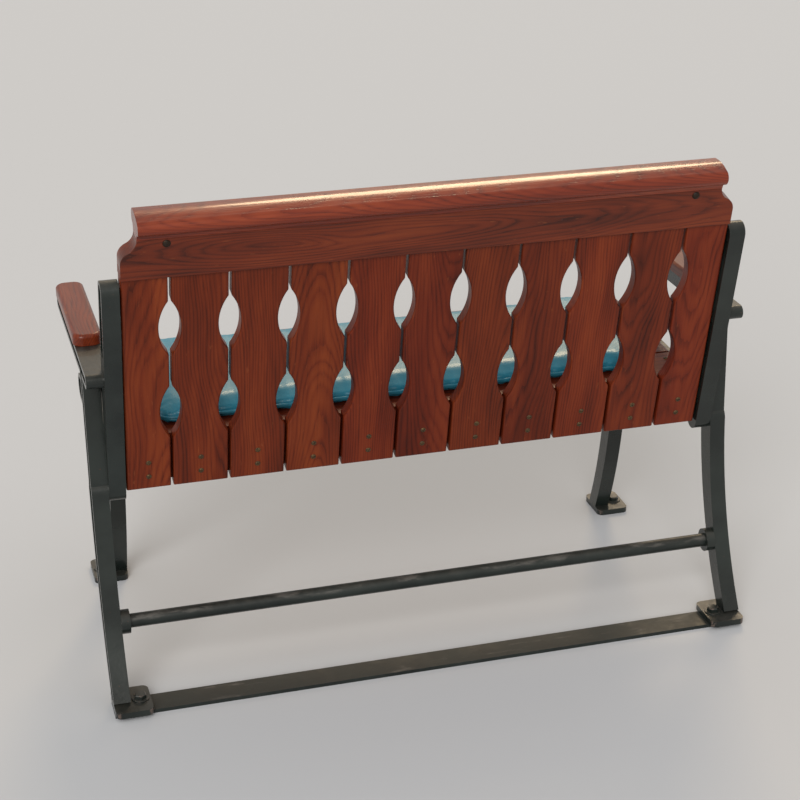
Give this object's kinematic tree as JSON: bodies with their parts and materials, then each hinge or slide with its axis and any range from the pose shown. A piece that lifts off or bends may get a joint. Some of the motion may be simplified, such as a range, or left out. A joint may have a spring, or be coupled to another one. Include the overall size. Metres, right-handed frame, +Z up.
{
  "type": "tram bench seat",
  "caption": "Slatted wooden transverse bench seat of a tram: raked back with almond cut-outs under a moulded cap, cast end frames with wooden arm pads, floor bar, foot rail and a seat pad.",
  "frame": {"origin": "on the floor, in the middle of the four floor bolts", "axes": "+Z up, +Y the way the sitter faces, +X from the aisle end to the wall end"},
  "size_m": [1.044, 0.512, 0.7896],
  "materials": {
    "varnished_boards": "red-brown varnish, satin to gloss",
    "varnished_cap": "red-brown varnish, glossy and worn lighter on its edges",
    "enamelled_iron": "glossy black-green paint",
    "painted_bar": "black-green paint, scuffed",
    "seat_pad_vinyl": "turquoise vinyl with a fine grain and piped edges"
  },
  "bodies": {
    "root": {"aisle_arm_pad": "varnished_cap", "aisle_end_frame": "enamelled_iron", "aisle_front_leg": "enamelled_iron", "back_board_01": "varnished_boards", "back_board_02": "varnished_boards", "back_board_03": "varnished_boards", "back_board_04": "varnished_boards", "back_board_05": "varnished_boards", "back_board_06": "varnished_boards", "back_board_07": "varnished_boards", "back_board_08": "varnished_boards", "back_board_09": "varnished_boards", "back_board_10": "varnished_boards", "back_board_11": "varnished_boards", "back_cap": "varnished_cap", "back_floor_bar": "painted_bar", "back_header": "varnished_cap", "foot_rail": "painted_bar", "seat_bearer_1": "varnished_boards", "seat_bearer_2": "varnished_boards", "seat_bearer_3": "varnished_boards", "seat_board_1": "varnished_boards", "seat_board_2": "varnished_boards", "seat_board_3": "varnished_boards", "seat_board_4": "varnished_boards", "seat_front_rail": "varnished_boards", "seat_pad": "seat_pad_vinyl", "seat_rear_rail": "varnished_boards", "wall_arm_pad": "varnished_cap", "wall_end_frame": "enamelled_iron", "wall_front_leg": "enamelled_iron"}
  },
  "joints": []
}
